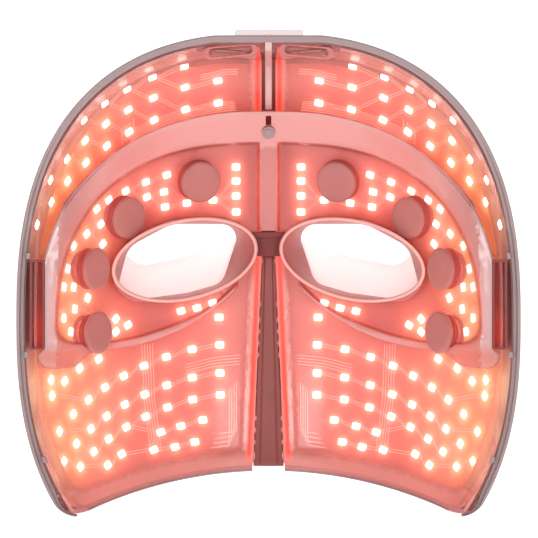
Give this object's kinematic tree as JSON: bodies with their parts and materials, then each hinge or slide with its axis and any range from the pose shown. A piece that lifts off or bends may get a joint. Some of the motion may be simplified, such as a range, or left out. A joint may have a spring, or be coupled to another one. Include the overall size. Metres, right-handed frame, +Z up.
{
  "type": "led face mask",
  "caption": "Wrap-around light therapy face mask: white shell, clear inner liners over LED boards, raised eye frame with press-in vibrating massage pads and soft eye guards.",
  "frame": {"origin": "middle of the flat rim that faces the wearer, on the rim's front plane, 103 mm below its flat top", "axes": "+Z up as worn, +Y out of the face through the white shell, the wearer's face comes in from -Y, left is -X as seen from the wearer's side"},
  "size_m": [0.205, 0.0895, 0.1977],
  "materials": {
    "shell_white": "gloss white moulded plastic",
    "rim_mauve": "satin mauve-grey plastic",
    "frame_tinted": "salmon-tinted moulded plastic",
    "bridge_brown": "dark red-brown plastic",
    "circuit_board": "green solder mask",
    "port_metal": "bright metal",
    "screw_steel": "plain steel",
    "grip_soft": "fine ribbed soft plastic",
    "trim_pink": "pink-grey satin plastic",
    "liner_clear": "clear salmon-tinted glossy plastic",
    "guard_soft": "satin dusty-rose silicone",
    "light_board": "flexible circuit film lit from its LEDs",
    "led_lit": "lit LED package",
    "boot_red": "dark red silicone",
    "battery_wrap": "grey film wrap",
    "button_grey": "satin light grey",
    "pad_soft": "matte dusty-rose silicone",
    "motor_metal": "bright metal can"
  },
  "bodies": {
    "root": {"outer_shell": "shell_white", "crown_ridge": "shell_white", "rim_frame": "rim_mauve", "centre_spine": "rim_mauve", "spine_catch": "frame_tinted", "nose_strip": "rim_mauve", "nose_bridge": "bridge_brown", "eye_frame": "frame_tinted", "main_board": "circuit_board", "usb_port": "port_metal", "screws": "screw_steel", "snap_tabs": "rim_mauve", "side_grip_left": "grip_soft", "side_grip_right": "grip_soft", "bottom_trim_left": "trim_pink", "bottom_trim_right": "trim_pink", "inner_liner_left": "liner_clear", "inner_liner_right": "liner_clear", "eye_guard_left": "guard_soft", "eye_guard_right": "guard_soft", "forehead_board_left": "light_board", "forehead_board_right": "light_board", "cheek_board_left": "light_board", "cheek_board_right": "light_board", "eye_board_left": "light_board", "eye_board_right": "light_board", "forehead_leds_left": "led_lit", "forehead_leds_right": "led_lit", "cheek_leds_left": "led_lit", "cheek_leds_right": "led_lit", "eye_leds_left": "led_lit", "eye_leds_right": "led_lit", "pad_boots_left": "boot_red", "pad_boots_right": "boot_red", "battery_cell_left": "battery_wrap", "battery_cell_right": "battery_wrap", "top_slot_bezel_left": "frame_tinted", "top_slot_bezel_right": "frame_tinted", "side_slot_bezel_left": "rim_mauve", "side_slot_bezel_right": "rim_mauve"},
    "inner_brow_pad_left_body": {"inner_brow_pad_left": "pad_soft", "inner_brow_motor_left": "motor_metal"},
    "outer_brow_pad_left_body": {"outer_brow_pad_left": "pad_soft", "outer_brow_motor_left": "motor_metal"},
    "temple_pad_left_body": {"temple_pad_left": "pad_soft", "temple_motor_left": "motor_metal"},
    "cheekbone_pad_left_body": {"cheekbone_pad_left": "pad_soft", "cheekbone_motor_left": "motor_metal"},
    "inner_brow_pad_right_body": {"inner_brow_pad_right": "pad_soft", "inner_brow_motor_right": "motor_metal"},
    "outer_brow_pad_right_body": {"outer_brow_pad_right": "pad_soft", "outer_brow_motor_right": "motor_metal"},
    "temple_pad_right_body": {"temple_pad_right": "pad_soft", "temple_motor_right": "motor_metal"},
    "cheekbone_pad_right_body": {"cheekbone_pad_right": "pad_soft", "cheekbone_motor_right": "motor_metal"},
    "power_button_body": {"power_button": "button_grey"},
    "mode_button_body": {"mode_button": "button_grey"}
  },
  "joints": [
    {"name": "inner_brow_pad_left_press", "type": "slide", "parent": "root", "child": "inner_brow_pad_left_body", "axis": [-0.3463, 0.9053, 0.2459], "range_m": [0, 0.001], "stiffness_N_per_m": 800},
    {"name": "outer_brow_pad_left_press", "type": "slide", "parent": "root", "child": "outer_brow_pad_left_body", "axis": [-0.6972, 0.7046, 0.1323], "range_m": [0, 0.001], "stiffness_N_per_m": 800},
    {"name": "temple_pad_left_press", "type": "slide", "parent": "root", "child": "temple_pad_left_body", "axis": [-0.8394, 0.5424, 0.0351], "range_m": [0, 0.001], "stiffness_N_per_m": 800},
    {"name": "cheekbone_pad_left_press", "type": "slide", "parent": "root", "child": "cheekbone_pad_left_body", "axis": [-0.8288, 0.5595, -0.0037], "range_m": [0, 0.001], "stiffness_N_per_m": 800},
    {"name": "inner_brow_pad_right_press", "type": "slide", "parent": "root", "child": "inner_brow_pad_right_body", "axis": [0.3463, 0.9053, 0.2459], "range_m": [0, 0.001], "stiffness_N_per_m": 800},
    {"name": "outer_brow_pad_right_press", "type": "slide", "parent": "root", "child": "outer_brow_pad_right_body", "axis": [0.6972, 0.7046, 0.1323], "range_m": [0, 0.001], "stiffness_N_per_m": 800},
    {"name": "temple_pad_right_press", "type": "slide", "parent": "root", "child": "temple_pad_right_body", "axis": [0.8394, 0.5424, 0.0351], "range_m": [0, 0.001], "stiffness_N_per_m": 800},
    {"name": "cheekbone_pad_right_press", "type": "slide", "parent": "root", "child": "cheekbone_pad_right_body", "axis": [0.8288, 0.5595, -0.0037], "range_m": [0, 0.001], "stiffness_N_per_m": 800},
    {"name": "power_button_press", "type": "slide", "parent": "root", "child": "power_button_body", "axis": [0, -0.9482, -0.3177], "range_m": [0, 0.0006], "stiffness_N_per_m": 1500},
    {"name": "mode_button_press", "type": "slide", "parent": "root", "child": "mode_button_body", "axis": [0, -0.9873, -0.1591], "range_m": [0, 0.0006], "stiffness_N_per_m": 1500}
  ]
}
